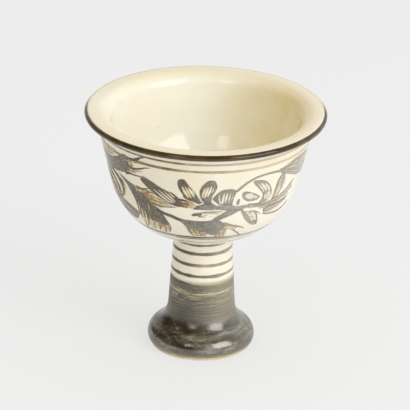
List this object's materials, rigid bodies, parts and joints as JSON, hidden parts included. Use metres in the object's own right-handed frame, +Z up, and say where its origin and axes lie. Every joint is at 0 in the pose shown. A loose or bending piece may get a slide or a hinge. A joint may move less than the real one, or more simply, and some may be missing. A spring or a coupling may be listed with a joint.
{
  "type": "ceramic stem cup",
  "caption": "Stoneware stem cup: a deep bowl with a turned-out, level-topped lip on a hollow, flared stem foot, white-slipped, clear-glazed and painted in iron, with a dark-glazed foot.",
  "frame": {"origin": "centre of the foot ring, on the table", "axes": "+Z up along the axis the cup was thrown on, -Y towards the viewer of the picture"},
  "size_m": [0.109, 0.109, 0.114],
  "materials": {
    "bowl_stoneware": "bare fired stoneware under the slip",
    "foot_stoneware": "bare fired stoneware, tan to orange",
    "luting_clay": "fired joining slip",
    "white_slip": "matt white slip under the glaze",
    "ivory_glaze": "clear glossy glaze, ivory over the slip",
    "dark_glaze": "dark brown iron glaze with brushed streaks",
    "iron_band": "glossy dark iron brown",
    "iron_lines": "iron pigment brushed under the glaze"
  },
  "bodies": {
    "root": {"bowl_body": "bowl_stoneware", "stem_foot_body": "foot_stoneware", "luting_slip": "luting_clay", "slip_coat": "white_slip", "clear_glaze": "ivory_glaze", "foot_glaze": "dark_glaze", "rim_band": "iron_band", "rim_lines": "iron_lines", "belly_lines": "iron_lines", "stem_rings": "iron_lines"}
  },
  "joints": []
}
